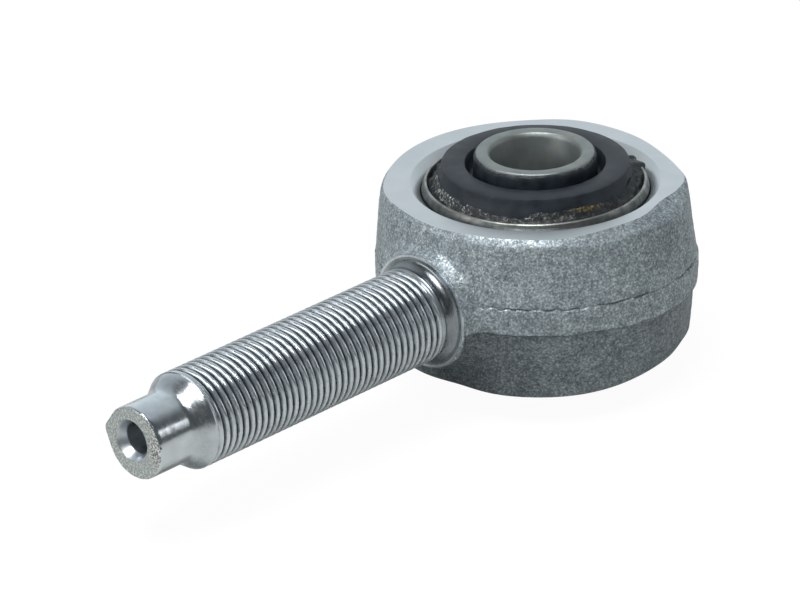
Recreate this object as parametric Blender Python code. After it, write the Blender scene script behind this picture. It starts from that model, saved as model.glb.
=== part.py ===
"""Rubber-bushed rod end: a forged eye with an integral threaded shank, and a bonded bush pressed into it.

The origin is the centre of the bush. +Z is the axis of the eye's bore, and +X runs along the shank to its
tip. Metres throughout. Four pieces: the forging, the bush's outer steel sleeve, its rubber and its inner
steel sleeve.
"""

import math

import bmesh
import bpy

MM = 0.001
ROUND_SEGMENTS = 64
SHANK_SEGMENTS = 24
FIT_GAP = 0.3 * MM              # drawn gap wherever two pieces touch
CUT_OVERRUN = 1.0 * MM          # how far a cutting form runs past the face that it cuts

# Eye: a rounded square in plan, with draft above and below a band at the parting line
EYE_HALF_HEIGHT = 20.8 * MM
EYE_BAND_TOP = 4.0 * MM
EYE_BAND_BOTTOM = -2.6 * MM
EYE_EDGE_DROP = 2.2 * MM        # height of the rounded edge next to each machined face
EYE_EDGE_STEP = 1.3 * MM        # how far that edge has come out at its foot
EYE_BAND_RADIUS = 39.3 * MM
EYE_BAND_STEP = 0.4 * MM        # the trimmed band stands this far out of the drafted walls
EYE_TOP_RADIUS = 36.2 * MM
EYE_BOTTOM_RADIUS = 35.3 * MM
EYE_BAND_CORNER = 0.3 * MM      # corner swell at the band, and at the two faces
EYE_FACE_CORNER = 1.0 * MM
FLAT_SIDE_ANGLE = math.radians(103)
FLAT_SIDE_SPREAD = math.radians(24)
FLAT_SIDE_DEPTH = 2.6 * MM      # the top edge is drawn in on one side
BORE_RADIUS = 28.1 * MM
BORE_CHAMFER_RADIUS = 30.6 * MM
BORE_CHAMFER_DEPTH = 2.1 * MM

# Shank: boss, machined shoulder, M24 x 2 right-hand thread and a plain pilot with a centre hole
BOSS_START = 24.0 * MM
BOSS_RADIUS = 14.4 * MM
BOSS_FLARE = 5.0 * MM
SHOULDER_X = 41.0 * MM
SHOULDER_RADIUS = 14.2 * MM
SHOULDER_FILLET = 2.4 * MM
NECK_RADIUS = 11.6 * MM
THREAD_START = 44.6 * MM
THREAD_PITCH = 2.0 * MM
THREAD_TURNS = 36
THREAD_MAJOR_RADIUS = 11.85 * MM
THREAD_MINOR_RADIUS = 10.7 * MM
THREAD_LEAD_IN = 2.5 * MM       # length over which the last crest falls to the shoulder's radius
PILOT_RADIUS = 8.87 * MM
PILOT_START = 123.8 * MM
PILOT_EDGE = 0.5 * MM
TIP_X = 134.5 * MM
CENTRE_HOLE_RADIUS = 3.9 * MM
CENTRE_HOLE_DEPTH = 14.0 * MM
COUNTERSINK_RADIUS = 5.2 * MM
DRILL_POINT_FLAT = 0.3 * MM

# Bush
OUTER_SLEEVE_RADIUS = BORE_RADIUS - FIT_GAP
OUTER_SLEEVE_WALL = 1.5 * MM
OUTER_SLEEVE_HALF = 20.9 * MM
OUTER_SLEEVE_ROLL = 2.2 * MM    # length of each rolled-in end
OUTER_SLEEVE_ROLL_IN = 0.9 * MM
INNER_SLEEVE_RADIUS = 14.45 * MM
INNER_SLEEVE_BORE = 10.85 * MM
INNER_SLEEVE_HALF = 28.35 * MM
INNER_SLEEVE_CHAMFER = 0.7 * MM
RUBBER_RIM_HEIGHT = 25.6 * MM
RUBBER_RIM_INNER = 17.0 * MM
RUBBER_RIM_OUTER = 22.6 * MM
RUBBER_SKIN = 0.7 * MM          # rubber left on the inner sleeve beyond the rim
RUBBER_SKIN_HEIGHT = 27.4 * MM
RUBBER_GROOVE_HEIGHT = 21.5 * MM
RUBBER_EDGE_HEIGHT = 19.6 * MM


def clear_scene():
    for item in list(bpy.data.objects):
        bpy.data.objects.remove(item, do_unlink=True)


def principled(name, colour, roughness, metallic):
    material = bpy.data.materials.new(name)
    material.use_nodes = True
    shader = material.node_tree.nodes["Principled BSDF"]
    shader.inputs["Base Color"].default_value = (*colour, 1.0)
    shader.inputs["Roughness"].default_value = roughness
    shader.inputs["Metallic"].default_value = metallic
    return material


def finish_mesh(name, shape):
    """Turn a bmesh into an object whose faces point outwards and whose round walls are smooth."""
    bmesh.ops.recalc_face_normals(shape, faces=shape.faces)
    mesh = bpy.data.meshes.new(name)
    shape.to_mesh(mesh)
    shape.free()
    mesh.shade_smooth()
    mesh.set_sharp_from_angle(angle=math.radians(30))
    item = bpy.data.objects.new(name, mesh)
    bpy.context.scene.collection.objects.link(item)
    return item


def around(axis, radius, along, angle):
    """A point at a radius and angle about the X or the Z axis."""
    side = radius * math.cos(angle)
    rise = radius * math.sin(angle)
    return (along, side, rise) if axis == "X" else (side, rise, along)


def join_rings(shape, first, second):
    for i, low in enumerate(first):
        j = (i + 1) % len(first)
        shape.faces.new((low, first[j], second[j], second[i]))


def ring(shape, axis, radius, along, segments):
    step = math.tau / segments
    return [shape.verts.new(around(axis, radius, along, i * step)) for i in range(segments)]


def turned_tube(name, profile, segments=ROUND_SEGMENTS):
    """A closed profile of (radius, height) points turned about Z."""
    shape = bmesh.new()
    rings = [ring(shape, "Z", radius, height, segments) for radius, height in profile]
    for i, first in enumerate(rings):
        join_rings(shape, first, rings[(i + 1) % len(rings)])
    return finish_mesh(name, shape)


def turned_bar(name, axis, profile, segments):
    """An open profile of (radius, position) points turned about an axis, with both ends filled."""
    shape = bmesh.new()
    rings = [ring(shape, axis, radius, along, segments) for radius, along in profile]
    for first, second in zip(rings, rings[1:]):
        join_rings(shape, first, second)
    shape.faces.new(rings[0])
    shape.faces.new(rings[-1])
    return finish_mesh(name, shape)


def mirrored(half_profile):
    """The upper half of a profile of (radius, height) points, then the same half below Z = 0."""
    return half_profile + [(radius, -height) for radius, height in reversed(half_profile)]


def plan_radius(angle, mean, corner):
    """The eye's plan outline: a circle that swells a little at four corners."""
    return mean + corner * math.cos(4 * angle - math.pi)


def top_radius(angle):
    off = math.remainder(angle - FLAT_SIDE_ANGLE, math.tau) / FLAT_SIDE_SPREAD
    return plan_radius(angle, EYE_TOP_RADIUS, EYE_FACE_CORNER) - FLAT_SIDE_DEPTH * math.exp(-off * off)


def bottom_radius(angle):
    return plan_radius(angle, EYE_BOTTOM_RADIUS, EYE_FACE_CORNER)


def band_radius(angle):
    return plan_radius(angle, EYE_BAND_RADIUS, EYE_BAND_CORNER)


def eye_levels():
    """Heights of the eye's wall, bottom to top, each with its radius as a function of angle."""
    foot = EYE_HALF_HEIGHT - EYE_EDGE_DROP
    return [
        (-EYE_HALF_HEIGHT, bottom_radius),
        (-foot, lambda angle: bottom_radius(angle) + EYE_EDGE_STEP),
        (EYE_BAND_BOTTOM, lambda angle: band_radius(angle) - EYE_BAND_STEP),
        (EYE_BAND_BOTTOM + EYE_BAND_STEP, band_radius),
        (EYE_BAND_TOP - EYE_BAND_STEP, band_radius),
        (EYE_BAND_TOP, lambda angle: band_radius(angle) - EYE_BAND_STEP),
        (foot, lambda angle: top_radius(angle) + EYE_EDGE_STEP),
        (EYE_HALF_HEIGHT, top_radius),
    ]


def eye_block(name):
    shape = bmesh.new()
    step = math.tau / ROUND_SEGMENTS
    rings = [
        [shape.verts.new(around("Z", radius(i * step), height, i * step)) for i in range(ROUND_SEGMENTS)]
        for height, radius in eye_levels()
    ]
    for first, second in zip(rings, rings[1:]):
        join_rings(shape, first, second)
    shape.faces.new(rings[0])
    shape.faces.new(rings[-1])
    return finish_mesh(name, shape)


def arc(centre_along, centre_radius, size, start, end, steps):
    """Points (radius, position) on a quarter arc or less, angles in degrees from the axis direction."""
    points = []
    for i in range(steps + 1):
        angle = math.radians(start + (end - start) * i / steps)
        points.append((centre_radius + size * math.sin(angle), centre_along + size * math.cos(angle)))
    return points


def root_profile():
    """From inside the eye out to the neck: flared boss, machined shoulder face and its fillet."""
    flare = arc(SHOULDER_X, BOSS_RADIUS + BOSS_FLARE, BOSS_FLARE, 225, 265, 4)
    shoulder = [(BOSS_RADIUS, SHOULDER_X - 0.4 * MM), (SHOULDER_RADIUS, SHOULDER_X)]
    fillet_x = SHOULDER_X + SHOULDER_FILLET
    fillet = arc(fillet_x, NECK_RADIUS + SHOULDER_FILLET, SHOULDER_FILLET, 180, 270, 4)
    return [(flare[0][0], BOSS_START)] + flare + shoulder + fillet


def nose_profile():
    """From the end of the thread to the tip: a rounded shoulder that runs down into the pilot."""
    nose_start = THREAD_START + THREAD_PITCH * (THREAD_TURNS + 1) + 0.4 * MM
    fall = THREAD_MAJOR_RADIUS - 0.3 * MM - PILOT_RADIUS
    points = []
    steps = 8
    for i in range(steps + 1):
        share = i / steps
        eased = share * share * (3 - 2 * share)
        along = nose_start + (PILOT_START - nose_start) * share
        points.append((PILOT_RADIUS + fall * (1 - eased), along))
    return points + [(PILOT_RADIUS, TIP_X - PILOT_EDGE), (PILOT_RADIUS - PILOT_EDGE, TIP_X)]


def crest_radius(along):
    """Full height along the thread, falling over the lead-in at the free end."""
    thread_end = THREAD_START + THREAD_PITCH * (THREAD_TURNS + 1)
    lead = min(1.0, max(0.0, (thread_end - along) / THREAD_LEAD_IN))
    return THREAD_MAJOR_RADIUS - 0.35 * MM * (1 - lead)


def thread_rows(shape):
    """Rows of the helical surface, root and crest in turn. Each row advances one pitch per turn."""
    step = math.tau / SHANK_SEGMENTS
    rows = []
    for k in range(2 * THREAD_TURNS + 1):
        row = []
        for j in range(SHANK_SEGMENTS):
            along = THREAD_START + THREAD_PITCH * (k / 2 + j / SHANK_SEGMENTS)
            radius = THREAD_MINOR_RADIUS if k % 2 == 0 else crest_radius(along)
            row.append(shape.verts.new(around("X", radius, along, j * step)))
        rows.append(row)
    return rows


def threaded_shank(name):
    shape = bmesh.new()
    root = [ring(shape, "X", radius, along, SHANK_SEGMENTS) for radius, along in root_profile()]
    nose = [ring(shape, "X", radius, along, SHANK_SEGMENTS) for radius, along in nose_profile()]
    rows = thread_rows(shape)
    last = SHANK_SEGMENTS - 1
    for stack in (root, nose):
        for first, second in zip(stack, stack[1:]):
            join_rings(shape, first, second)
    for first, second in zip(rows, rows[1:]):
        for j in range(last):
            shape.faces.new((first[j], first[j + 1], second[j + 1], second[j]))
    for k in range(len(rows) - 3):
        shape.faces.new((rows[k][last], rows[k + 2][0], rows[k + 3][0], rows[k + 1][last]))
    # The helical surface starts and ends in a step of one pitch, closed against a flat ring
    start, end = root[-1], nose[0]
    for j in range(last):
        shape.faces.new((start[j], start[j + 1], rows[0][j + 1], rows[0][j]))
        shape.faces.new((end[j], end[j + 1], rows[-1][j + 1], rows[-1][j]))
    shape.faces.new((start[last], start[0], rows[0][0], rows[1][0], rows[2][0], rows[0][last]))
    shape.faces.new((end[0], end[last], rows[-1][last], rows[-2][last], rows[-3][last], rows[-1][0]))
    shape.faces.new(root[0])
    shape.faces.new(nose[-1])
    bmesh.ops.triangulate(shape, faces=[face for face in shape.faces if len(face.verts) == 6])
    return finish_mesh(name, shape)


def bore_form(name):
    """The eye's bore with a chamfer at each face."""
    slope = (BORE_CHAMFER_RADIUS - BORE_RADIUS) / BORE_CHAMFER_DEPTH
    half = [
        (BORE_CHAMFER_RADIUS + CUT_OVERRUN * slope, EYE_HALF_HEIGHT + CUT_OVERRUN),
        (BORE_RADIUS, EYE_HALF_HEIGHT - BORE_CHAMFER_DEPTH),
    ]
    return turned_bar(name, "Z", mirrored(half), ROUND_SEGMENTS)


def centre_hole_form(name):
    """The lathe centre hole in the tip, with a 60 degree countersink and a drill point."""
    slope = math.tan(math.radians(30))
    cone_depth = (COUNTERSINK_RADIUS - CENTRE_HOLE_RADIUS) / slope
    drill_end = TIP_X - CENTRE_HOLE_DEPTH
    profile = [
        (COUNTERSINK_RADIUS + CUT_OVERRUN * slope, TIP_X + CUT_OVERRUN),
        (CENTRE_HOLE_RADIUS, TIP_X - cone_depth),
        (CENTRE_HOLE_RADIUS, drill_end),
        (DRILL_POINT_FLAT, drill_end - (CENTRE_HOLE_RADIUS - DRILL_POINT_FLAT) / math.tan(math.radians(59))),
    ]
    return turned_bar(name, "X", profile, SHANK_SEGMENTS)


def shape_with(item, operation, tool):
    tool.hide_render = True
    tool.display_type = "WIRE"
    modifier = item.modifiers.new(tool.name, "BOOLEAN")
    modifier.operation = operation
    modifier.solver = "EXACT"
    modifier.object = tool


def forged_housing():
    housing = eye_block("forged_housing")
    shape_with(housing, "UNION", threaded_shank("shank_form"))
    shape_with(housing, "DIFFERENCE", bore_form("bore_form"))
    shape_with(housing, "DIFFERENCE", centre_hole_form("centre_hole_form"))
    housing.data.materials.append(principled("forged_steel", (0.30, 0.33, 0.35), 0.55, 0.9))
    return housing


def outer_sleeve():
    """Thin steel tube with both ends rolled in a little."""
    roll_start = OUTER_SLEEVE_HALF - OUTER_SLEEVE_ROLL
    bore = OUTER_SLEEVE_RADIUS - OUTER_SLEEVE_WALL
    lip = OUTER_SLEEVE_RADIUS - OUTER_SLEEVE_ROLL_IN
    half = [
        (OUTER_SLEEVE_RADIUS, roll_start),
        (lip, OUTER_SLEEVE_HALF),
        (lip - 0.5 * MM, OUTER_SLEEVE_HALF),
        (bore, roll_start),
    ]
    sleeve = turned_tube("outer_sleeve", mirrored(half))
    sleeve.data.materials.append(principled("sleeve_steel", (0.42, 0.42, 0.39), 0.4, 1.0))
    return sleeve


def rubber_body():
    """Rubber between the sleeves: sloped shoulder, raised flat rim, groove and a thin skin inside it."""
    inner = INNER_SLEEVE_RADIUS + FIT_GAP
    outer = OUTER_SLEEVE_RADIUS - OUTER_SLEEVE_WALL - FIT_GAP
    half = [
        (outer, RUBBER_EDGE_HEIGHT - 1.6 * MM),
        (outer - 0.5 * MM, RUBBER_EDGE_HEIGHT),
        (RUBBER_RIM_OUTER + 1.4 * MM, RUBBER_EDGE_HEIGHT + 0.6 * MM),
        (RUBBER_RIM_OUTER + 0.6 * MM, RUBBER_RIM_HEIGHT - 0.9 * MM),
        (RUBBER_RIM_OUTER, RUBBER_RIM_HEIGHT),
        (RUBBER_RIM_INNER, RUBBER_RIM_HEIGHT),
        (RUBBER_RIM_INNER - 0.7 * MM, RUBBER_GROOVE_HEIGHT + 0.6 * MM),
        (inner + RUBBER_SKIN + 0.3 * MM, RUBBER_GROOVE_HEIGHT),
        (inner + RUBBER_SKIN, RUBBER_GROOVE_HEIGHT + 0.6 * MM),
        (inner + RUBBER_SKIN * 0.6, RUBBER_SKIN_HEIGHT),
        (inner, RUBBER_SKIN_HEIGHT),
    ]
    rubber = turned_tube("rubber_body", mirrored(half), segments=48)
    rubber.data.materials.append(principled("black_rubber", (0.025, 0.028, 0.032), 0.55, 0.0))
    return rubber


def inner_sleeve():
    half = [
        (INNER_SLEEVE_RADIUS, INNER_SLEEVE_HALF - 0.4 * MM),
        (INNER_SLEEVE_RADIUS - 0.4 * MM, INNER_SLEEVE_HALF),
        (INNER_SLEEVE_BORE + INNER_SLEEVE_CHAMFER, INNER_SLEEVE_HALF),
        (INNER_SLEEVE_BORE, INNER_SLEEVE_HALF - INNER_SLEEVE_CHAMFER),
    ]
    sleeve = turned_tube("inner_sleeve", mirrored(half))
    sleeve.data.materials.append(principled("inner_sleeve_steel", (0.45, 0.46, 0.43), 0.45, 1.0))
    return sleeve


def main():
    clear_scene()
    for build in (forged_housing, outer_sleeve, rubber_body, inner_sleeve):
        build()


main()
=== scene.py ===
"""Visual model of the rubber-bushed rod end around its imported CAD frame.

Shapes are worked out in millimetres in the CAD frame: the origin is the centre of the bush, +Z is the
axis of the eye's bore and +X runs along the shank to its tip. Angles round the eye are measured from
+X towards +Y, and angles round the shank from +Y towards +Z.
"""

import math

import bpy
import numpy as np
from mathutils import Matrix, Vector


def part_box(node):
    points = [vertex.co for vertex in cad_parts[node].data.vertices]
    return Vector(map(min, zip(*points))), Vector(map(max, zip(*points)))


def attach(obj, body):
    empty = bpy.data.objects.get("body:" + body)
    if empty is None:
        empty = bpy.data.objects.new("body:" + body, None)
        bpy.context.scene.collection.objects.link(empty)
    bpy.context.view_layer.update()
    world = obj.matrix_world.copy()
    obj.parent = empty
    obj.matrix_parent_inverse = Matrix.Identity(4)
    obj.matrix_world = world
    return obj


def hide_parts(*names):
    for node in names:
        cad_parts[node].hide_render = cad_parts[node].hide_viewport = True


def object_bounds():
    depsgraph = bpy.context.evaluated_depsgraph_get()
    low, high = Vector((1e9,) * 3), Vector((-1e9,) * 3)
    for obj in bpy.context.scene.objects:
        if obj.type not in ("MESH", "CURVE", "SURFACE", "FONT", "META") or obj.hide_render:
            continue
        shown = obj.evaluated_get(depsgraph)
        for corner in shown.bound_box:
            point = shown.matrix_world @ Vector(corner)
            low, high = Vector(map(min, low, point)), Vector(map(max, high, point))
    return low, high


MM = 0.001
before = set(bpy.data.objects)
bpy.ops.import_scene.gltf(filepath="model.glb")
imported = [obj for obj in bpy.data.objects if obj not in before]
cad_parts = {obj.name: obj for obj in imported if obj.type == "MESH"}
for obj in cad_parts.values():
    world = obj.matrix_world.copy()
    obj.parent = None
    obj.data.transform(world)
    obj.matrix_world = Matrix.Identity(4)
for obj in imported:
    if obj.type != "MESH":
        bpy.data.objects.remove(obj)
cad_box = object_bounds()


def node_reach(name, axis):
    """Highest coordinate of a CAD node on one axis, in millimetres."""
    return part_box(name)[1][axis] / MM


# Eye
FACE_Z = 20.8                   # machined faces
TIP_X = node_reach("forged_housing", 0)
BAND_RADIUS = 39.2
BAND_TOP = 2.0
BAND_BOTTOM = -4.3
BAND_TILT = 2.0                 # the parting band climbs towards BAND_TILT_ANGLE
BAND_TILT_ANGLE = math.radians(20)
CHAMFER_RADIUS = 30.6
BORE_RADIUS = 28.1
CHAMFER_DEPTH = 2.1
BOSS_RADIUS = 14.4
BOSS_FLARE = (7.5, 6.0)         # along and across the shank
SHOULDER_X = 41.0

# Outline of the two machined faces: bumps of (angle, half width, amount) on a mean radius
TOP_RADIUS = 36.3
TOP_BUMPS = [
    (-152, 14, 1.2), (-100, 25, 0.5), (-37, 12, 0.9), (20, 9, -0.6), (35, 12, -0.7),
    (78, 22, -2.3), (108, 14, -2.9), (133, 6, 0.5), (158, 22, -1.8),
]
SKIN_RADIUS = 37.3              # the forged wall just below the rounded edge of the machined face
SKIN_BUMPS = [
    (-152, 14, 0.9), (-37, 15, 0.8), (20, 12, -0.4), (95, 25, 0.3), (133, 8, 0.1), (158, 22, -1.4),
]
BOTTOM_RADIUS = 35.2
BOTTOM_BUMPS = [
    (-152, 14, 1.2), (-37, 15, 1.1), (8, 14, -1.6), (57, 18, 0.5), (96, 20, -0.8), (134, 9, 1.4),
]

# Shank
NECK_RADIUS = 11.6
NECK_FILLET = (2.6, 1.9)        # along and across the shank
CREST_RADIUS = 11.85
THREAD_DEPTH = 1.2
PITCH = 2.0
FIRST_GROOVE_X = 45.2
LAST_GROOVE_X = 117.6
CREST_PHASE_X = 115.93 - 33.7 / 360 * PITCH     # a crest stands here on the +Y side
CREST_HALF_WIDTH = 0.14         # in pitches
FLANK_WIDTH = 0.30              # in pitches
THREAD_START = 44.4
NOSE_START = 119.2
PILOT_START = 124.0
PILOT_RADIUS = 8.87
HOLE_RADIUS = 3.9
COUNTERSINK_RADIUS = 5.2
HOLE_DEPTH = 14.0
HOLE_OFFSET = (-0.8, 0.35)      # the centre hole lies off the shank's axis, along Y and Z
TURNING_RIDGE = 0.05            # height of the rings turned into the countersink

# Bush
SLEEVE_RADIUS = node_reach("outer_sleeve", 0)
SLEEVE_HALF = node_reach("outer_sleeve", 2)
SLEEVE_WALL = 1.5
SLEEVE_BORE = SLEEVE_RADIUS - SLEEVE_WALL
INNER_RADIUS = node_reach("inner_sleeve", 0)
INNER_HALF = node_reach("inner_sleeve", 2)
INNER_BORE = 10.85
RIM_HEIGHT = node_reach("rubber_body", 2) - 1.8     # the skin on the inner sleeve reaches higher
# Loose lumps of torn rubber: (angle, half width, size)
LOOSE_LUMPS = [(-72, 7, 0.45), (-52, 4, 0.2), (152, 9, 0.8), (161, 5, 0.85), (141, 5, 0.5)]

# Studio, in metres
FLOOR_Z = cad_box[0][2] - 0.0004
FLOOR_HALF = 6.0
FLOOR_GLOW = 1.06
BACKDROP_LEVELS = [(0.0, 0.10), (0.16, 0.15), (0.36, 0.55), (0.74, 0.72), (1.0, 1.0)]
BACKDROP_TINT = (0.90, 0.97, 1.0)
BACKDROP_STRENGTH = 0.9

# Camera: angles in degrees, lens and sensor in millimetres, the rest in millimetres from the bush's centre
CAMERA_AZIMUTH = 44.952
CAMERA_ELEVATION = 25.196
CAMERA_ROLL = -1.571
CAMERA_DISTANCE = 1210.18
CAMERA_SHIFT = (-33.666, -9.596)
LENS = 222.63
SENSOR_WIDTH = 36.0


# ---------------------------------------------------------------- shapes in numbers


def lumps(points, size, seed):
    """Smooth random height from -1 to 1 at each point, in lumps of about the given size."""
    side = 32
    lattice = np.random.default_rng(seed).uniform(-1, 1, (side, side, side))
    scaled = np.asarray(points, float) / size
    cell = np.floor(scaled).astype(int)
    share = scaled - cell
    share = share * share * (3 - 2 * share)
    total = np.zeros(scaled.shape[:-1])
    for corner in np.ndindex(2, 2, 2):
        weight = np.ones(scaled.shape[:-1])
        for axis in range(3):
            weight = weight * (share[..., axis] if corner[axis] else 1 - share[..., axis])
        index = (cell + corner) % side
        total += weight * lattice[index[..., 0], index[..., 1], index[..., 2]]
    return total


def smooth_step(value, start, end):
    """0 up to the start, 1 from the end on, and smooth between them."""
    share = np.clip((value - start) / (end - start), 0, 1)
    return share * share * (3 - 2 * share)


def bell(value, centre, half_width):
    """1 at the centre, falling away on both sides."""
    return np.exp(-(((value - centre) / half_width) ** 2))


def turn_between(angle, centre):
    """Degrees from a centre angle to each angle, from -180 to 180."""
    return (np.degrees(angle) - centre + 180) % 360 - 180


def facing(angle, centre, half_width):
    """1 at the centre angle in degrees, falling away on both sides."""
    return bell(turn_between(angle, centre), 0, half_width)


def smooth_lower(first, second, rounding):
    return 0.5 * (first + second - np.sqrt((first - second) ** 2 + rounding))


def smooth_higher(first, second, rounding):
    return 0.5 * (first + second + np.sqrt((first - second) ** 2 + rounding))


def bumped_radius(angle, mean, bumps):
    radius = np.full_like(angle, mean)
    for centre, half_width, amount in bumps:
        radius = radius + amount * facing(angle, centre, half_width)
    return radius


def around_z(radius, angle, height):
    x, y = radius * np.cos(angle), radius * np.sin(angle)
    return np.stack(np.broadcast_arrays(x, y, height), axis=-1)


def around_x(along, radius, angle):
    y, z = radius * np.cos(angle), radius * np.sin(angle)
    return np.stack(np.broadcast_arrays(along, y, z), axis=-1)


def even_angles(count):
    return np.arange(count) * math.tau / count


def mirrored(half):
    """A (radius, height) profile followed by its mirror image below."""
    return half + [(radius, -height) for radius, height in reversed(half)]


# ---------------------------------------------------------------- meshes


def grid_faces(rows, columns, closed):
    """Quads between neighbouring rows of points, each row a closed ring."""
    row = np.arange(rows if closed else rows - 1)[:, None]
    column = np.arange(columns)[None, :]
    after = (column + 1) % columns
    above = (row + 1) % rows
    lower, higher = row * columns, above * columns
    quads = [lower + column, lower + after, higher + after, higher + column]
    return np.stack(np.broadcast_arrays(*quads), axis=-1).reshape(-1, 4)


def ring_piece(name, points, materials, closed=True, face_slots=None, sharp=35.0):
    """A closed solid from rings of points, in millimetres: a tube if closed, else capped at both ends."""
    rows, columns, _ = points.shape
    faces = grid_faces(rows, columns, closed).tolist()
    vertices = points.reshape(-1, 3)
    if not closed:
        ends = np.array([points[0].mean(axis=0), points[-1].mean(axis=0)])
        low, high = len(vertices), len(vertices) + 1
        vertices = np.concatenate([vertices, ends])
        last = (rows - 1) * columns
        for i in range(columns):
            j = (i + 1) % columns
            faces.append((j, i, low))
            faces.append((last + i, last + j, high))
    mesh = bpy.data.meshes.new(name)
    mesh.from_pydata((vertices * MM).tolist(), [], faces)
    if face_slots is not None:
        slots = np.repeat(face_slots, columns)
        slots = np.concatenate([slots, np.full(len(faces) - len(slots), slots[-1])])
        mesh.polygons.foreach_set("material_index", slots.astype(np.int32))
    for material in materials:
        mesh.materials.append(material)
    mesh.update()
    if signed_volume(mesh) < 0:
        mesh.flip_normals()
    mesh.shade_smooth()
    mesh.set_sharp_from_angle(angle=math.radians(sharp))
    piece = bpy.data.objects.new(name, mesh)
    bpy.context.scene.collection.objects.link(piece)
    return piece


def signed_volume(mesh):
    """Six times the enclosed volume, negative where the faces point inwards."""
    mesh.calc_loop_triangles()
    corners = np.zeros(len(mesh.loop_triangles) * 3, dtype=np.int32)
    mesh.loop_triangles.foreach_get("vertices", corners)
    places = np.zeros(len(mesh.vertices) * 3)
    mesh.vertices.foreach_get("co", places)
    a, b, c = places.reshape(-1, 3)[corners.reshape(-1, 3)].transpose(1, 0, 2)
    return float(np.einsum("ij,ij->i", a, np.cross(b, c)).sum())


def paint(piece, name, values):
    """Stores one number for each point of a piece, for its material to read."""
    layer = piece.data.attributes.new(name, "FLOAT", "POINT")
    padded = np.zeros(len(piece.data.vertices), dtype=np.float32)
    flat = np.asarray(values, dtype=np.float32).reshape(-1)
    padded[: len(flat)] = flat
    layer.data.foreach_set("value", padded)


# ---------------------------------------------------------------- materials

NOISE_LOW = 0.3
NOISE_HIGH = 0.7


def set_stops(node, stops):
    """Gives a colour ramp node its (place, colour) stops."""
    elements = node.color_ramp.elements
    while len(elements) < len(stops):
        elements.new(0.5)
    for element, (place, colour) in zip(elements, stops):
        element.position = place
        element.color = (*colour, 1)


class Shader:
    """A Principled material and short calls to add its nodes."""

    def __init__(self, name, colour, roughness, metallic):
        self.material = bpy.data.materials.new(name)
        self.material.use_nodes = True
        self.tree = self.material.node_tree
        self.surface = self.tree.nodes["Principled BSDF"]
        self.surface.inputs["Base Color"].default_value = (*colour, 1)
        self.surface.inputs["Roughness"].default_value = roughness
        self.surface.inputs["Metallic"].default_value = metallic
        self.place = self.add("ShaderNodeTexCoord").outputs["Object"]

    def add(self, kind, **settings):
        node = self.tree.nodes.new(kind)
        for key, value in settings.items():
            setattr(node, key, value)
        return node

    def link(self, source, socket):
        if isinstance(source, (int, float)):
            socket.default_value = source
        elif isinstance(source, tuple):
            socket.default_value = (*source, 1)
        else:
            self.tree.links.new(source, socket)

    def noise(self, size, detail=2.0, roughness=0.5, stretch=None, distortion=0.0):
        """Noise with features of about size millimetres, from 0 to 1."""
        node = self.add("ShaderNodeTexNoise")
        node.inputs["Scale"].default_value = 1 / (size * MM)
        node.inputs["Detail"].default_value = detail
        node.inputs["Roughness"].default_value = roughness
        node.inputs["Distortion"].default_value = distortion
        place = self.place
        if stretch:
            mapping = self.add("ShaderNodeMapping")
            mapping.inputs["Scale"].default_value = stretch
            self.link(self.place, mapping.inputs["Vector"])
            place = mapping.outputs["Vector"]
        self.link(place, node.inputs["Vector"])
        return node.outputs["Fac"]

    def ramp(self, value, stops):
        """Colours or greys at places from 0 to 1."""
        node = self.add("ShaderNodeValToRGB")
        set_stops(node, [
            (place, (colour, colour, colour) if isinstance(colour, (int, float)) else colour)
            for place, colour in stops
        ])
        self.link(value, node.inputs["Fac"])
        return node.outputs["Color"]

    def blend(self, noise, low, high):
        """One colour or grey to another over the range that a noise mostly keeps to."""
        return self.ramp(noise, [(NOISE_LOW, low), (NOISE_HIGH, high)])

    def span(self, noise, to_low, to_high):
        """One number to another over the range that a noise mostly keeps to."""
        node = self.add("ShaderNodeMapRange")
        sockets = ("From Min", "From Max", "To Min", "To Max")
        for socket, number in zip(sockets, (NOISE_LOW, NOISE_HIGH, to_low, to_high)):
            node.inputs[socket].default_value = number
        self.link(noise, node.inputs["Value"])
        return node.outputs["Result"]

    def mix(self, share, first, second, blend="MIX"):
        """Second colour over the first. Sockets 6 and 7 take the colours, and output 2 gives the result."""
        node = self.add("ShaderNodeMix", data_type="RGBA", blend_type=blend)
        self.link(share, node.inputs[0])
        self.link(first, node.inputs[6])
        self.link(second, node.inputs[7])
        return node.outputs[2]

    def math(self, operation, first, second):
        node = self.add("ShaderNodeMath", operation=operation)
        self.link(first, node.inputs[0])
        self.link(second, node.inputs[1])
        return node.outputs["Value"]

    def attribute(self, name):
        return self.add("ShaderNodeAttribute", attribute_name=name).outputs["Fac"]

    def colour(self, source):
        self.link(source, self.surface.inputs["Base Color"])

    def roughness(self, source):
        self.link(source, self.surface.inputs["Roughness"])

    def bump(self, height, distance, strength=1.0):
        """Adds a bump of a height from 0 to 1 over the last one."""
        node = self.add("ShaderNodeBump")
        node.inputs["Distance"].default_value = distance * MM
        node.inputs["Strength"].default_value = strength
        self.link(height, node.inputs["Height"])
        normal = self.surface.inputs["Normal"]
        if normal.is_linked:
            self.link(normal.links[0].from_socket, node.inputs["Normal"])
        self.link(node.outputs["Normal"], normal)


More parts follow.
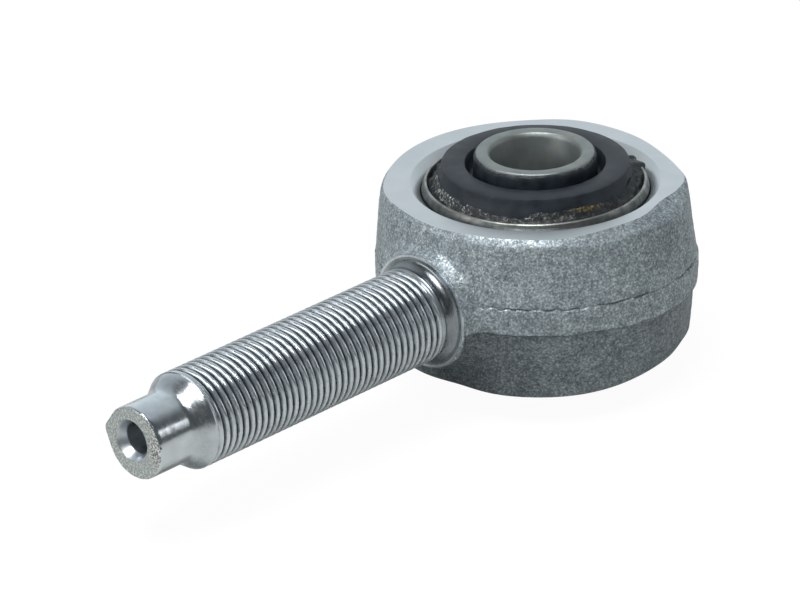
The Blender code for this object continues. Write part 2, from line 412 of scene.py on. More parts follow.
def forged_material():
    """Shot-blasted forging: fine bright and dark grains on mid grey steel, with painted highlights, painted
    shade and a painted shadow in the parting seam.
    """
    shade = Shader("forged_steel", (0.2, 0.23, 0.25), 0.5, 0.6)
    grain = shade.noise(0.55, detail=2.0, roughness=0.6)
    mottle = shade.noise(1.6, detail=2.0, roughness=0.5)
    patch = shade.noise(6.0, detail=3.0)
    grains = shade.ramp(grain, [
        (0.30, (0.19, 0.225, 0.245)), (0.52, (0.34, 0.395, 0.425)), (0.72, (0.66, 0.74, 0.79)),
    ])
    mottled = shade.mix(0.60, grains, shade.blend(mottle, 0.28, 0.70), "OVERLAY")
    patched = shade.mix(0.30, mottled, shade.blend(patch, 0.30, 0.70), "OVERLAY")
    # Painted highlights: near-white specks where the wall is painted with highlights
    painted_glint = shade.ramp(shade.noise(0.45, detail=1.0), [(0.66, 0.0), (0.74, 1.0)])
    painted_glint = shade.math("MULTIPLY", painted_glint, shade.attribute("painted_glint"))
    with_painted_glint = shade.mix(painted_glint, patched, (0.90, 0.95, 0.97))
    # Painted shade: darker below the parting band, on the side turned from the light, under the shank and
    # beside the boss
    with_painted_shade = shade.mix(shade.attribute("painted_shade"), with_painted_glint, (0.0, 0.005, 0.01))
    # Painted shadow in the parting seam
    shade.colour(shade.mix(shade.attribute("seam_shadow"), with_painted_shade, (0.03, 0.035, 0.04)))
    shade.roughness(shade.span(grain, 0.62, 0.42))
    shade.bump(patch, 0.15, 0.4)
    shade.bump(mottle, 0.10, 0.6)
    shade.bump(grain, 0.07, 0.7)
    return shade.material


def machined_material():
    """Faced surface, satin with very fine turning marks."""
    shade = Shader("machined_face", (0.62, 0.66, 0.69), 0.34, 1.0)
    cloud = shade.noise(9.0, detail=3.0)
    shade.colour(shade.blend(cloud, (0.64, 0.695, 0.715), (0.72, 0.75, 0.785)))
    fine = shade.noise(0.3, detail=2.0)
    shade.roughness(shade.span(fine, 0.30, 0.40))
    shade.bump(fine, 0.01, 0.4)
    return shade.material


def zinc_material():
    """Bright turned and rolled steel of the shank: painted shade in the thread roots and on the neck, dull
    next to the shoulder.
    """
    shade = Shader("thread_steel", (0.70, 0.73, 0.73), 0.24, 1.0)
    cloud = shade.noise(3.0, detail=3.0)
    fine = shade.noise(0.5, detail=2.0, stretch=(1.0, 0.25, 0.25))
    metal = shade.blend(cloud, (0.62, 0.68, 0.72), (0.74, 0.79, 0.83))
    # Painted shade in the thread roots, on the neck and round the nose, broken up a little by noise
    shade_breakup = shade.blend(shade.noise(2.2, detail=3.0, stretch=(1.0, 0.4, 0.4)), 0.85, 1.0)
    painted_root_shade = shade.math("MULTIPLY", shade.attribute("groove"), shade_breakup)
    shade.colour(shade.mix(painted_root_shade, metal, (0.035, 0.045, 0.055)))
    dull = shade.attribute("dull")
    polish = shade.span(fine, 0.13, 0.22)
    shade.roughness(shade.math("ADD", polish, shade.math("MULTIPLY", dull, 0.22)))
    shade.bump(cloud, 0.03, 0.2)
    shade.bump(fine, 0.008, 0.4)
    return shade.material


def tip_material():
    """Sheared end of the pilot, dull, with painted glints on the torn metal."""
    shade = Shader("tip_steel", (0.5, 0.53, 0.53), 0.4, 1.0)
    grain = shade.noise(0.5, detail=3.0, roughness=0.65)
    metal = shade.ramp(grain, [
        (0.3, (0.30, 0.33, 0.33)), (0.5, (0.46, 0.50, 0.49)), (0.68, (0.9, 0.92, 0.92)),
    ])
    # Painted highlights: white sparkle on the torn metal
    painted_sparkle = shade.ramp(shade.noise(0.42, detail=1.0), [(0.36, 0.12), (0.50, 0.42), (0.60, 1.0)])
    shade.colour(shade.mix(shade.attribute("torn"), metal, painted_sparkle))
    shade.roughness(shade.span(grain, 0.5, 0.3))
    shade.bump(grain, 0.15, 0.7)
    return shade.material


def sleeve_material():
    """Outer sleeve: drawn steel painted dark as the shade down in its crevice, worn bright and warm grey on
    its rolled lip.
    """
    shade = Shader("sleeve_steel", (0.36, 0.36, 0.33), 0.38, 1.0)
    cloud = shade.noise(2.5, detail=3.0)
    # Painted shade: the dark colour of the sleeve where it lies in the crevice
    crevice_shade = shade.blend(cloud, (0.07, 0.08, 0.08), (0.17, 0.175, 0.165))
    worn = shade.blend(cloud, (0.26, 0.28, 0.27), (0.48, 0.49, 0.46))
    shade.colour(shade.mix(shade.attribute("worn"), crevice_shade, worn))
    shade.roughness(shade.span(cloud, 0.48, 0.34))
    shade.bump(shade.noise(0.4), 0.02, 0.5)
    return shade.material


def inner_sleeve_material():
    """Inner sleeve: grey-beige turned steel."""
    shade = Shader("inner_sleeve_steel", (0.42, 0.43, 0.40), 0.40, 1.0)
    cloud = shade.noise(4.0, detail=4.0)
    fine = shade.noise(0.35, detail=2.0)
    shade.colour(shade.blend(cloud, (0.28, 0.315, 0.315), (0.37, 0.39, 0.38)))
    shade.roughness(shade.span(fine, 0.44, 0.58))
    shade.bump(fine, 0.02, 0.5)
    return shade.material


def rubber_material():
    """Moulded rubber, blue-black and satin, with a faint bloom."""
    shade = Shader("black_rubber", (0.02, 0.024, 0.028), 0.5, 0.0)
    cloud = shade.noise(3.0, detail=3.0)
    fine = shade.noise(0.3, detail=2.0)
    shade.colour(shade.blend(cloud, (0.007, 0.011, 0.017), (0.018, 0.027, 0.037)))
    shade.roughness(shade.span(cloud, 0.42, 0.58))
    shade.bump(cloud, 0.08, 0.3)
    shade.bump(fine, 0.02, 0.5)
    return shade.material


def flash_material():
    """Torn rubber flash with dusty and shiny streaks, and one ochre streak."""
    shade = Shader("rubber_flash", (0.02, 0.022, 0.025), 0.45, 0.0)
    speck = shade.noise(0.8, detail=4.0, roughness=0.7, distortion=0.6)
    dark = shade.ramp(speck, [
        (0.50, (0.008, 0.011, 0.014)), (0.66, (0.025, 0.03, 0.03)), (0.78, (0.16, 0.17, 0.16)),
    ])
    dusty = shade.ramp(speck, [
        (0.42, (0.012, 0.015, 0.018)), (0.54, (0.07, 0.075, 0.073)), (0.63, (0.75, 0.78, 0.76)),
    ])
    streak = shade.ramp(shade.noise(2.4, detail=2.0, distortion=1.0), [(0.36, 0.2), (0.50, 1.0)])
    mixed = shade.mix(shade.math("MULTIPLY", shade.attribute("dust"), streak), dark, dusty)
    ochre = shade.ramp(speck, [(0.46, (0.03, 0.028, 0.02)), (0.60, (0.34, 0.26, 0.085))])
    shade.colour(shade.mix(shade.attribute("ochre"), mixed, ochre))
    shade.roughness(shade.span(speck, 0.55, 0.32))
    shade.bump(speck, 0.18, 0.7)
    return shade.material


# ---------------------------------------------------------------- pieces


def graded(*spans):
    """Places from several (start, end, count) spans, end to end."""
    places = [np.linspace(start, end, count, endpoint=False) for start, end, count in spans]
    return np.concatenate(places + [[spans[-1][1]]])


def boss_radius_at(angle, height):
    """Distance from the bush's axis to the flared boss's skin, or zero where there is none."""
    length, spread_out = BOSS_FLARE
    halvings = 26
    farthest = 60.0
    fall_off = 10               # how steeply the skin drops past the flare's foot
    low = np.zeros(np.broadcast(angle, height).shape)
    high = np.full_like(low, farthest)
    for _ in range(halvings):
        middle = (low + high) / 2
        spread = np.hypot(middle * np.sin(angle), height)
        rise = np.clip((spread - BOSS_RADIUS) / spread_out, 0, 1)
        reach = SHOULDER_X - length * np.sqrt(1 - (1 - rise) ** 2)
        reach = reach - fall_off * np.maximum(spread - BOSS_RADIUS - spread_out, 0)
        reach = np.where(spread < BOSS_RADIUS, SHOULDER_X - 0.5, reach)
        inside = (middle * np.cos(angle) < reach) & (np.cos(angle) > 0.2)
        low = np.where(inside, middle, low)
        high = np.where(inside, high, middle)
    return low


def band_tilt_at(angle):
    return BAND_TILT * np.cos(angle - BAND_TILT_ANGLE)


def wall_height(angle, level, band_points):
    """Height of the wall at a nominal level: it follows the tilted, ragged parting band."""
    ragged = 0.45 * lumps(band_points, 1.6, 3) + 0.25 * lumps(band_points, 0.7, 4)
    keep_face = 1 - smooth_step(np.abs(level), 8, 17)
    near_top = bell(level, BAND_TOP, 1.2)
    near_bottom = bell(level, BAND_BOTTOM, 1.6)
    height = level + band_tilt_at(angle) * keep_face + ragged * near_top * 0.8
    return height + 0.3 * lumps(band_points, 4.0, 5) * near_bottom


def wall_radius(angle, level, height):
    """Radius of the wall from each machined face out to the parting band, with a rounded edge."""
    tilt = band_tilt_at(angle)
    upper = level > (BAND_TOP + BAND_BOTTOM) / 2
    top_face = bumped_radius(angle, TOP_RADIUS, TOP_BUMPS)
    face = np.where(upper, top_face, bumped_radius(angle, BOTTOM_RADIUS, BOTTOM_BUMPS))
    skin = np.where(upper, bumped_radius(angle, SKIN_RADIUS, SKIN_BUMPS), face + 0.8)
    depth = FACE_Z - np.abs(height)
    band_edge = np.where(upper, BAND_TOP + tilt, -(BAND_BOTTOM + tilt))
    share = np.clip(depth / (FACE_Z - band_edge), 0, 1)
    wall = skin - 0.25 + (BAND_RADIUS - skin + 0.25) * share
    slope = 0.95 + 1.1 * facing(angle, 95, 24)
    cone = face + slope * depth
    return smooth_lower(wall, cone, 0.35) + 0.09 * np.exp(-depth / 1.5)


def wall_paint(angle, level, points, band_points, groove):
    """Where the forging is painted with a shadow in its seam, with shade and with highlights."""
    # Painted shadow in the parting band's groove and under the step at its bottom
    seam_shadow = 0.75 * groove * bell(level, BAND_TOP + 0.30, 0.25)
    seam_shadow = seam_shadow * smooth_step(np.abs(turn_between(angle, 0)), 20, 27)
    broken = 0.7 + 0.5 * lumps(band_points, 3.0, 10)
    seam_shadow = np.maximum(seam_shadow, 0.55 * bell(level, BAND_BOTTOM - 0.2, 0.35) * broken)

    # Painted shade: below the band, on the side turned from the light, under the boss and shank, beside the
    # boss and over the band, with a little random tone
    below = smooth_step(BAND_BOTTOM - level, -0.1, 0.35)
    far_side = facing(angle, 101, 15) * smooth_step(level, 0, 6)
    under_boss = facing(angle, 20, 24) * below
    near_boss = facing(angle, 31, 6) * bell(level, 12, 5)
    on_band = bell(level, -1.2, 3.0)
    painted_shade = 0.38 * below + 0.22 * far_side + 0.20 * under_boss + 0.14 * near_boss + 0.10 * on_band
    painted_shade = np.clip(painted_shade + 0.08 * lumps(points, 7.0, 9), 0, 1)

    # Painted highlights: a few specks all over above the band, more along its upper lip and round the flare
    # to the boss
    painted_glint = smooth_step(level, BAND_TOP - 2, BAND_TOP + 3) * facing(angle, 24, 26)
    painted_glint = painted_glint + 0.6 * facing(angle, 18, 10) * smooth_step(level, 6, 10)
    painted_glint = np.clip(0.15 + painted_glint + 0.9 * bell(level, BAND_TOP - 0.3, 0.4), 0, 1) * (1 - below)
    return {"seam_shadow": seam_shadow, "painted_shade": painted_shade, "painted_glint": painted_glint}


def eye_wall(angle, level):
    """Points of the forged wall at each angle and nominal level, and what its material is painted with."""
    band_points = around_z(BAND_RADIUS, angle, 0.0)
    height = wall_height(angle, level, band_points)
    radius = wall_radius(angle, level, height)

    groove = np.clip(0.55 + 0.9 * lumps(band_points, 2.2, 6) + 0.5 * facing(angle, 31, 9), 0, 1)
    below_top = smooth_step(BAND_TOP - level, -0.12, 0.12)
    lip = 0.28 * below_top * smooth_step(level, BAND_BOTTOM - 0.3, BAND_BOTTOM + 0.3)
    radius = radius + lip - 0.30 * groove * bell(level, BAND_TOP + 0.28, 0.30)
    undercut = 0.55 * smooth_step(BAND_BOTTOM - level, 0, 0.5) * bell(level, BAND_BOTTOM, 7)
    radius = smooth_higher(radius - undercut, boss_radius_at(angle, height), 1.0)

    points = around_z(radius, angle, height)
    inner = smooth_step(FACE_Z - np.abs(level), 0, 1.5)
    radius = radius + inner * (0.16 * lumps(points, 5.0, 7) + 0.07 * lumps(points, 1.5, 8))
    painted = wall_paint(angle, level, points, band_points, groove)
    return around_z(radius, angle, height), painted


def face_rows(edge, angle, height):
    """Rings of a machined face, from the wall's outermost ring in to the chamfer."""
    outline = np.hypot(edge[:, 0], edge[:, 1])
    shares = (0.015, 0.5, 0.985)
    return [around_z(outline + (CHAMFER_RADIUS - outline) * share, angle, height) for share in shares]


def forged_eye(materials):
    columns = 600
    share = np.arange(columns) / columns
    # Columns lie closer together towards the boss
    angle = math.tau * share - 0.5 * np.sin(math.tau * share)
    face_edge = [(0, 0.6, 3), (0.6, 2.4, 5), (2.4, 4.0, 3)]
    levels = graded(
        *[(-FACE_Z + a, -FACE_Z + b, n) for a, b, n in face_edge],
        (-16.8, -5.4, 15), (-5.4, -3.6, 7), (-3.6, 1.6, 7), (1.6, 3.6, 12), (3.6, 16.8, 18),
        *[(FACE_Z - b, FACE_Z - a, n) for a, b, n in reversed(face_edge)],
    )
    wall, painted = eye_wall(angle[None, :], levels[:, None])
    half_bore = [
        (CHAMFER_RADIUS, FACE_Z), (CHAMFER_RADIUS - 0.15, FACE_Z - 0.06),
        (BORE_RADIUS + 0.1, FACE_Z - CHAMFER_DEPTH), (BORE_RADIUS, FACE_Z - CHAMFER_DEPTH - 0.1),
        (BORE_RADIUS, FACE_Z - 8),
    ]
    bore = [around_z(radius, angle, height) for radius, height in mirrored(half_bore)]
    top_face = face_rows(wall[-1], angle, FACE_Z)
    low_face = face_rows(wall[0], angle, -FACE_Z)[::-1]
    points = np.concatenate([wall, np.array(top_face + bore + low_face)])
    slots = np.ones(len(points), dtype=int)
    slots[: len(levels) - 1] = 0
    piece = ring_piece("eye_forging", points, materials, face_slots=slots, sharp=32)
    for name, values in painted.items():
        paint(piece, name, np.broadcast_to(values, (len(levels), columns)))
    return piece


def thread_cut(along, angle):
    """How far the thread's grooves lie below the crests."""
    turns = (along - CREST_PHASE_X) / PITCH - angle / math.tau
    from_crest = np.abs(turns - np.round(turns))
    flank = np.clip((from_crest - CREST_HALF_WIDTH) / FLANK_WIDTH, 0, 1)
    flank = 0.6 * flank + 0.4 * flank * flank * (3 - 2 * flank)
    fade = smooth_step(along, FIRST_GROOVE_X - 1.4, FIRST_GROOVE_X + 1.0)
    fade = fade * (1 - smooth_step(along, LAST_GROOVE_X - 0.4, LAST_GROOVE_X + 1.6))
    return THREAD_DEPTH * flank * fade


def shoulder_profile():
    """(position, radius) pairs from inside the boss over the shoulder to the neck."""
    length, rise = NECK_FILLET
    pairs = [
        (34.0, 12.5), (39.5, 14.2), (40.7, BOSS_RADIUS), (40.95, BOSS_RADIUS - 0.05),
        (41.05, BOSS_RADIUS - 0.3), (SHOULDER_X + 0.08, BOSS_RADIUS - 0.6),
        (SHOULDER_X + 0.1, NECK_RADIUS + rise + 0.12),
    ]
    for step in range(11):
        turn = math.radians(9 * step)
        along = SHOULDER_X + 0.12 + length * (1 - math.cos(turn))
        pairs.append((along, NECK_RADIUS + rise * (1 - math.sin(turn))))
    for x in np.linspace(43.85, 44.25, 4):
        pairs.append((x, NECK_RADIUS + 0.25 * float(smooth_step(x, 43.7, 44.5))))
    return pairs


def thread_profile():
    """(position, radius) pairs of the crests, the rounded nose and the pilot, up to the tip."""
    step = PITCH / 12
    count = round((NOSE_START - THREAD_START) / step)
    pairs = [(THREAD_START + i * step, CREST_RADIUS) for i in range(count)]
    nose_radius = CREST_RADIUS - 0.15
    for x in np.linspace(NOSE_START, PILOT_START, 14):
        fall = float(smooth_step(x, NOSE_START - 0.8, PILOT_START + 0.2))
        pairs.append((x, nose_radius - (nose_radius - PILOT_RADIUS) * fall))
    pairs += [(x, PILOT_RADIUS) for x in np.linspace(PILOT_START + 0.5, TIP_X - 0.7, 16)]
    return pairs + [
        (TIP_X - 0.4, PILOT_RADIUS - 0.04), (TIP_X - 0.15, PILOT_RADIUS - 0.2), (TIP_X, PILOT_RADIUS - 0.5)
    ]


def hole_profile():
    """(position, radius) pairs over the tip's face and down the countersunk centre hole."""
    face_radii = np.linspace(PILOT_RADIUS - 0.9, COUNTERSINK_RADIUS + 0.25, 6)
    pairs = [(TIP_X, radius) for radius in face_radii]
    pairs += [(TIP_X - 0.05, COUNTERSINK_RADIUS + 0.05), (TIP_X - 0.2, COUNTERSINK_RADIUS - 0.1)]
    cone = (COUNTERSINK_RADIUS - HOLE_RADIUS) / math.tan(math.radians(30))
    for i, share in enumerate(np.linspace(0.25, 0.95, 8)):
        ridge = TURNING_RIDGE * (-1) ** i
        radius = COUNTERSINK_RADIUS + (HOLE_RADIUS - COUNTERSINK_RADIUS) * share + ridge
        pairs.append((TIP_X - cone * share, radius))
    pairs += [(TIP_X - cone - 0.1, HOLE_RADIUS - 0.02)]
    pairs += [(x, HOLE_RADIUS) for x in np.linspace(TIP_X - cone - 0.6, TIP_X - HOLE_DEPTH, 6)]
    return pairs + [(TIP_X - HOLE_DEPTH - 2.2, 0.3)]


def paint_shank(piece, along, base, angle, points, outside, cut):
    """Torn metal on the tip, painted shade in the thread roots and on the neck, and how dull each place is.
    """
    # Torn metal round the rim and beside the hole, which the tip's material paints with sparkling highlights
    beside_hole = facing(angle, 2, 26) * bell(base, 7.0, 1.6)
    burred_edge = facing(angle, 28, 50) * bell(base, PILOT_RADIUS - 0.1, 0.5)
    at_tip = np.abs(along - TIP_X) < 0.5
    paint(piece, "torn", np.clip(beside_hole + burred_edge, 0, 1) * at_tip)

    # Painted shade: dark in the thread roots, darker still along the shank's underside and upper back and
    # lighter towards the front, a small dark patch by the shoulder, over the neck and round the nose
    depth = cut / THREAD_DEPTH
    painted_thread_shade = 0.10 * lumps(points, 1.2, 27) + 0.22 * facing(angle, -30, 28)
    painted_thread_shade = painted_thread_shade + 0.25 * facing(angle, 118, 25) - 0.12 * facing(angle, 20, 22)
    groove = 0.96 * smooth_step(depth + painted_thread_shade * (depth > 0.01), 0.18, 0.85)
    groove = np.maximum(groove, 0.25 * bell(along, 121.5, 2.5))
    nick = facing(angle, 18, 4.5 + 1.5 * lumps(points, 1.0, 26)) * bell(along, 43.3, 1.1)
    neck_shade = 0.62 + 0.15 * lumps(points, 4.0, 28) + 0.2 * facing(angle, 80, 25)
    neck_shade = neck_shade * smooth_step(-along, -45.5, -44.0) * (base < BOSS_RADIUS - 0.7)
    dark = np.maximum(np.maximum(groove, 0.9 * nick), neck_shade)
    paint(piece, "groove", np.where(outside, dark, 0.15))

    in_thread = smooth_step(along, 43, 45) * (1 - smooth_step(along, 117, 121))
    dull = 0.55 * in_thread + 0.5 * (1 - smooth_step(along, 43, 46))
    dull = np.maximum(dull, 0.35 * bell(along, 121, 2.5))
    paint(piece, "dull", np.broadcast_to(np.where(outside, dull, 1.0), points.shape[:2]))


def shank(materials):
    profile = np.array(shoulder_profile() + thread_profile() + hole_profile())
    along = profile[:, 0][:, None]
    base = profile[:, 1][:, None]
    angle = even_angles(120)[None, :]
    outside = np.arange(len(profile))[:, None] < np.argmax(profile[:, 0] >= TIP_X - 0.01)
    cut = np.where(outside, thread_cut(along, angle), 0)
    radius = base - cut
    points = around_x(along, radius, angle)
    dents = 0.010 * lumps(points, 1.3, 21) + 0.008 * lumps(points, 4, 22)
    dents = np.where(outside & (along > 44), dents, 0)
    radius = radius + dents * smooth_step(np.abs(along - 41.5), 0.6, 2.5)

    # A bulge on the sheared tip's edge, and torn metal round its rim and on its face
    at_edge = bell(along, TIP_X, 1.6) * (base > PILOT_RADIUS - 1.2)
    bulge = facing(angle, 173, 13)
    rim_points = around_x(TIP_X, PILOT_RADIUS, angle)
    rim = (0.10 + 0.26 * facing(angle, 30, 50)) * lumps(rim_points, 0.9, 23)
    radius = radius + at_edge * (0.95 * bulge + rim * bell(along, TIP_X, 0.5))
    on_face = np.abs(along - TIP_X) < 0.02
    roughness = 0.10 * lumps(points, 0.9, 24) + 0.10 * lumps(points, 2.5, 25)
    lift = np.where(on_face, roughness * (0.7 + 1.6 * facing(angle, 10, 45)), 0)
    points = around_x(along + lift, radius, angle)

    in_hole = smooth_step(-base, -COUNTERSINK_RADIUS - 1.2, -COUNTERSINK_RADIUS - 0.1)
    points[..., 1] += HOLE_OFFSET[0] * in_hole
    points[..., 2] += HOLE_OFFSET[1] * in_hole
    slots = np.zeros(len(profile) - 1, dtype=int)
    slots[(profile[:-1, 0] >= TIP_X - 0.2) & (profile[:-1, 1] > COUNTERSINK_RADIUS)] = 1
    piece = ring_piece("threaded_shank", points, materials, closed=False, face_slots=slots, sharp=40)
    paint_shank(piece, along, base, angle, points, outside, cut)
    return piece


def shoulder_burr(material):
    """Ragged lip where the turning tool broke through the forged skin round the shoulder."""
    angle = even_angles(200)[None, :]
    turn = even_angles(10)[:, None]
    ring_points = around_x(SHOULDER_X, BOSS_RADIUS, angle)
    size = 0.22 + 0.20 * np.clip(lumps(ring_points, 1.6, 31), -0.6, 1) + 0.12 * lumps(ring_points, 0.6, 32)
    size = size + 0.30 * facing(angle, 26, 8) + 0.35 * facing(angle, -30, 9)
    size = np.maximum(size, 0.05)
    radius = BOSS_RADIUS - 0.05 + size * np.sin(turn)
    along = SHOULDER_X - 0.35 + size * np.cos(turn) + 0.15 * lumps(ring_points, 0.9, 33)
    return ring_piece("shoulder_burr", around_x(along, radius, angle), [material], sharp=50)


def turned_ring(name, half, columns, material, wobble):
    """A (radius, height) profile and its mirror image turned about Z, moved a little by lumps."""
    profile = np.array(mirrored(half), float)
    angle = even_angles(columns)[None, :]
    points = around_z(profile[:, 0][:, None], angle, profile[:, 1][:, None])
    shift = wobble * lumps(points, 3.0, len(name))
    points = around_z(profile[:, 0][:, None] + shift, angle, profile[:, 1][:, None] + 0.5 * shift)
    return ring_piece(name, points, [material])


def outer_sleeve(material):
    columns = 220
    lip = SLEEVE_RADIUS - 0.9
    half = [
        (SLEEVE_RADIUS, 6.0), (SLEEVE_RADIUS, SLEEVE_HALF - 2.3), (SLEEVE_RADIUS - 0.12, SLEEVE_HALF - 1.5),
        (lip + 0.25, SLEEVE_HALF - 0.35), (lip + 0.1, SLEEVE_HALF - 0.1), (lip - 0.12, SLEEVE_HALF),
        (lip - 0.4, SLEEVE_HALF - 0.04), (lip - 0.55, SLEEVE_HALF - 0.25),
        (SLEEVE_BORE - 0.1, SLEEVE_HALF - 1.6), (SLEEVE_BORE, SLEEVE_HALF - 2.3), (SLEEVE_BORE, 6.0),
    ]
    piece = turned_ring("outer_sleeve_shell", half, columns, material, 0.05)
    # How worn the sleeve is at each point of the profile: only its lip; the rest takes the painted crevice
    # shade
    worn = [0, 0, 0.05, 0.35, 1, 1, 0.8, 0.3, 0, 0, 0]
    paint(piece, "worn", np.repeat(worn + worn[::-1], columns))
    return piece


def inner_sleeve(material):
    half = [
        (INNER_RADIUS, 5.0), (INNER_RADIUS, INNER_HALF - 0.5), (INNER_RADIUS - 0.06, INNER_HALF - 0.25),
        (INNER_RADIUS - 0.28, INNER_HALF - 0.05), (INNER_RADIUS - 0.55, INNER_HALF),
        (INNER_BORE + 1.3, INNER_HALF), (INNER_BORE + 0.8, INNER_HALF - 0.08),
        (INNER_BORE + 0.5, INNER_HALF - 0.35), (INNER_BORE + 0.28, INNER_HALF - 0.85),
        (INNER_BORE + 0.03, INNER_HALF - 1.35), (INNER_BORE, 5.0),
    ]
    return turned_ring("inner_sleeve_tube", half, 200, material, 0.02)


def rubber_core(material):
    """Rim, groove and shoulder of the bush, which tilts with it."""
    inner = INNER_RADIUS + 0.05
    half = [
        (24.3, 6.0), (24.3, 18.6), (24.25, 20.2), (24.0, 21.4), (23.5, 22.8), (23.05, 23.9), (22.95, 24.6),
        (22.95, 25.1), (22.8, 25.42), (22.4, RIM_HEIGHT), (20.0, RIM_HEIGHT + 0.05), (17.6, RIM_HEIGHT),
        (17.2, RIM_HEIGHT - 0.12), (16.98, RIM_HEIGHT - 0.5), (16.7, 23.6), (16.4, 22.2), (16.1, 21.7),
        (15.7, 21.5), (inner, 21.5),
    ]
    return turned_ring("rubber_core", half, 240, material, 0.10)


def below_mirrored(top):
    """A surface of rings about Z followed by its mirror image, which closes it."""
    return np.concatenate([top, top[::-1] * np.array([1, 1, -1])])


def rubber_skin(material):
    """Thin rubber left on the wall of the inner sleeve."""
    angle = even_angles(220)
    # Height and thickness from the groove up to the ragged top edge
    profile = [
        (20.8, 0.75), (21.5, 0.72), (22.5, 0.68), (24.0, 0.62), (25.4, 0.58), (26.6, 0.52), (27.3, 0.45),
        (27.6, 0.30), (27.7, 0.12), (27.65, 0.0),
    ]
    rings = []
    for height, thickness in profile:
        edge = around_z(INNER_RADIUS, angle, height)
        ragged = 0.35 * lumps(edge, 2.5, 41) + 0.2 * lumps(edge, 0.9, 42)
        shift = ragged * smooth_step(height, 25.4, 27.0)
        radius = INNER_RADIUS + 0.03 + thickness + 0.05 * lumps(edge, 1.5, 43)
        rings.append(around_z(radius, angle, height + shift))
    return ring_piece("rubber_skin", below_mirrored(np.array(rings)), [material], sharp=60)


def rubber_flash(material):
    """Uneven, torn rubber between the bush's shoulder and the outer sleeve, fast in the sleeve."""
    angle = even_angles(420)[None, :]
    # Radius and height over the base, then how far a loose lump hangs outwards and lifts there
    profile = np.array([
        (22.90, 1.50, 0.00, 0.0), (23.40, 2.80, 0.00, 0.1), (23.75, 3.00, 0.00, 0.3),
        (24.05, 2.40, 0.00, 0.6), (24.40, 1.70, 0.00, 1.0), (24.75, 1.20, 0.00, 1.6),
        (25.10, 0.85, 0.10, 2.1), (25.45, 0.50, 0.45, 2.6), (25.75, 0.25, 0.90, 2.8),
        (26.05, 0.05, 2.00, 2.5), (26.22, -0.30, 2.30, 2.4), (26.22, -0.50, 0.03, 2.5),
        (26.22, -1.30, 0.00, 0.0),
    ])
    radii, swell, overhang, lift = (column[:, None] for column in profile.T)
    base = 19.3
    circle = around_z(25.0, angle, 0.0)
    points = around_z(radii, angle, base)
    # The lumps are drawn out round the ring by scaling the angle
    stretched = np.stack(np.broadcast_arrays(radii, 6.0 * angle, 0.0), axis=-1)
    torn = 0.42 * lumps(stretched, 0.55, 51) + 0.30 * lumps(points, 0.9, 52)
    inside = smooth_step(radii, 23.2, 23.8) * smooth_step(-radii, -26.2, -25.6)
    height = base + swell * (1 + 0.25 * lumps(circle, 6.0, 53)) + torn * inside
    loose = 0
    for centre, half_width, size in LOOSE_LUMPS:
        loose = np.maximum(loose, size * facing(angle, centre, half_width))
    loose = loose * (0.9 + 0.2 * lumps(circle, 2.2, 55))
    height = height + loose * lift
    reach = radii + loose * overhang
    top = around_z(reach, angle, height)
    piece = ring_piece("rubber_flash_ring", below_mirrored(top), [material], sharp=60)
    dust = 1.2 * facing(angle, -2, 50) * (0.75 + 0.6 * lumps(circle, 3.0, 54))
    dust = np.clip(dust, 0, 1) * bell(reach, 24.2, 0.8)
    ochre = facing(angle, 74, 9) * bell(reach, 23.8, 0.28)
    for name, values in (("dust", dust), ("ochre", ochre)):
        paint(piece, name, values)
    return piece


# ---------------------------------------------------------------- studio


def paint_world():
    world = bpy.data.worlds.new("studio")
    world.use_nodes = True
    bpy.context.scene.world = world
    tree = world.node_tree
    background = tree.nodes["Background"]
    # Dim on the camera's side, and rising to a bright, slightly blue backdrop behind the object
    direction = tree.nodes.new("ShaderNodeTexCoord").outputs["Generated"]
    behind = tree.nodes.new("ShaderNodeVectorMath")
    behind.operation = "DOT_PRODUCT"
    behind.inputs[1].default_value = (-0.7071, -0.7071, 0.0)
    tree.links.new(direction, behind.inputs[0])
    glow = tree.nodes.new("ShaderNodeValToRGB")
    set_stops(glow, [
        (share, tuple(level * channel for channel in BACKDROP_TINT)) for share, level in BACKDROP_LEVELS
    ])
    tree.links.new(behind.outputs["Value"], glow.inputs["Fac"])
    tree.links.new(glow.outputs["Color"], background.inputs["Color"])
    background.inputs["Strength"].default_value = BACKDROP_STRENGTH
    seen = tree.nodes.new("ShaderNodeBackground")
    seen.inputs["Strength"].default_value = 1.0
    choice = tree.nodes.new("ShaderNodeMixShader")
    tree.links.new(tree.nodes.new("ShaderNodeLightPath").outputs["Is Camera Ray"], choice.inputs["Fac"])
    tree.links.new(background.outputs["Background"], choice.inputs[1])
    tree.links.new(seen.outputs["Background"], choice.inputs[2])
    tree.links.new(choice.outputs["Shader"], tree.nodes["World Output"].inputs["Surface"])


def soft_light(name, place, target, width, height, power):
    """A rectangular lamp that faces its target and isn't seen itself."""
    lamp = bpy.data.lights.new(name, "AREA")
    lamp.shape = "RECTANGLE"
    lamp.size = width
    lamp.size_y = height
    lamp.energy = power
    item = bpy.data.objects.new(name, lamp)
    bpy.context.scene.collection.objects.link(item)
    item.location = place
    item.rotation_euler = (Vector(target) - Vector(place)).to_track_quat("-Z", "Y").to_euler()
    item.visible_camera = False


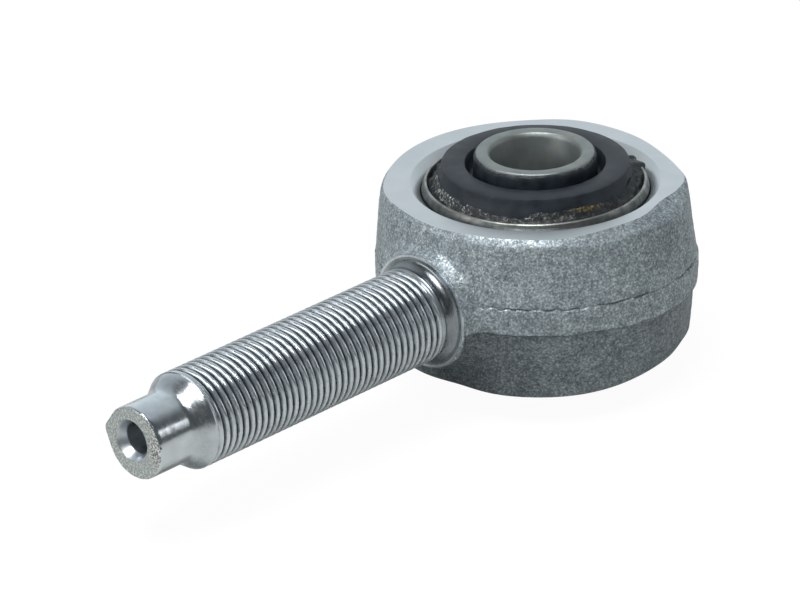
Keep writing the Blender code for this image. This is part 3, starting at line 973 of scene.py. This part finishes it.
def pale_floor():
    mesh = bpy.data.meshes.new("floor")
    corners = [(-1, -1), (1, -1), (1, 1), (-1, 1)]
    places = [(x * FLOOR_HALF, y * FLOOR_HALF, FLOOR_Z) for x, y in corners]
    mesh.from_pydata(places, [], [(0, 1, 2, 3)])
    floor = bpy.data.objects.new("floor", mesh)
    bpy.context.scene.collection.objects.link(floor)
    shade = Shader("pale_floor", (0.6, 0.6, 0.58), 0.7, 0.0)
    white = shade.add("ShaderNodeEmission")
    white.inputs["Color"].default_value = (1, 1, 1, 1)
    white.inputs["Strength"].default_value = FLOOR_GLOW
    choice = shade.add("ShaderNodeMixShader")
    seen = shade.math("MULTIPLY", shade.add("ShaderNodeLightPath").outputs["Is Camera Ray"], 0.9)
    shade.link(seen, choice.inputs["Fac"])
    shade.link(shade.surface.outputs["BSDF"], choice.inputs[1])
    shade.link(white.outputs["Emission"], choice.inputs[2])
    shade.link(choice.outputs["Shader"], shade.tree.nodes["Material Output"].inputs["Surface"])
    mesh.materials.append(shade.material)


def camera():
    """Long lens, 45 degrees round from the shank's tip and 25 degrees up, rolled a little."""
    azimuth, elevation, roll = (
        math.radians(angle) for angle in (CAMERA_AZIMUTH, CAMERA_ELEVATION, CAMERA_ROLL)
    )
    back = Vector((
        math.cos(azimuth) * math.cos(elevation), math.sin(azimuth) * math.cos(elevation), math.sin(elevation)
    ))
    level_right = Vector((-math.sin(azimuth), math.cos(azimuth), 0))
    level_up = back.cross(level_right)
    right = level_right * math.cos(roll) + level_up * math.sin(roll)
    up = level_up * math.cos(roll) - level_right * math.sin(roll)
    place = back * CAMERA_DISTANCE + level_right * CAMERA_SHIFT[0] + level_up * CAMERA_SHIFT[1]
    data = bpy.data.cameras.new("camera")
    data.lens = LENS
    data.sensor_width = SENSOR_WIDTH
    data.clip_start = 0.05
    data.clip_end = 20.0
    item = bpy.data.objects.new("camera", data)
    turn = Matrix((right, up, back)).transposed().to_4x4()
    item.matrix_world = Matrix.Translation(place * MM) @ turn
    bpy.context.scene.collection.objects.link(item)
    bpy.context.scene.camera = item


def studio():
    bpy.context.scene.view_settings.view_transform = "Standard"
    camera()
    paint_world()
    pale_floor()
    soft_light("key", (0.38, 0.16, 0.95), (0.02, 0, 0), 0.5, 0.5, 9.0)
    soft_light("left_box", (1.05, -0.42, 0.44), (0.05, 0, 0), 0.75, 0.34, 2.8)
    soft_light("side_box", (-0.70, 0.74, 0.38), (0.05, 0, 0), 0.35, 0.36, 0.6)


# ---------------------------------------------------------------- assembly


forged = forged_material()
machined = machined_material()
rubber = rubber_material()
pieces = [
    # piece, body, replaced node, material slot
    (forged_eye([forged, machined]), "housing", "forged_housing", "forged_steel"),
    (shank([zinc_material(), tip_material()]), "housing", "forged_housing", "forged_steel"),
    (shoulder_burr(forged), "housing", "forged_housing", "forged_steel"),
    (outer_sleeve(sleeve_material()), "housing", "outer_sleeve", "sleeve_steel"),
    (rubber_flash(flash_material()), "housing", "rubber_body", "black_rubber"),
    (rubber_core(rubber), "bush", "rubber_body", "black_rubber"),
    (rubber_skin(rubber), "sleeve", "rubber_body", "black_rubber"),
    (inner_sleeve(inner_sleeve_material()), "sleeve", "inner_sleeve", "inner_sleeve_steel"),
]
for piece, body, node_name, slot_name in pieces:
    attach(piece, body)
    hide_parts(node_name)
studio()
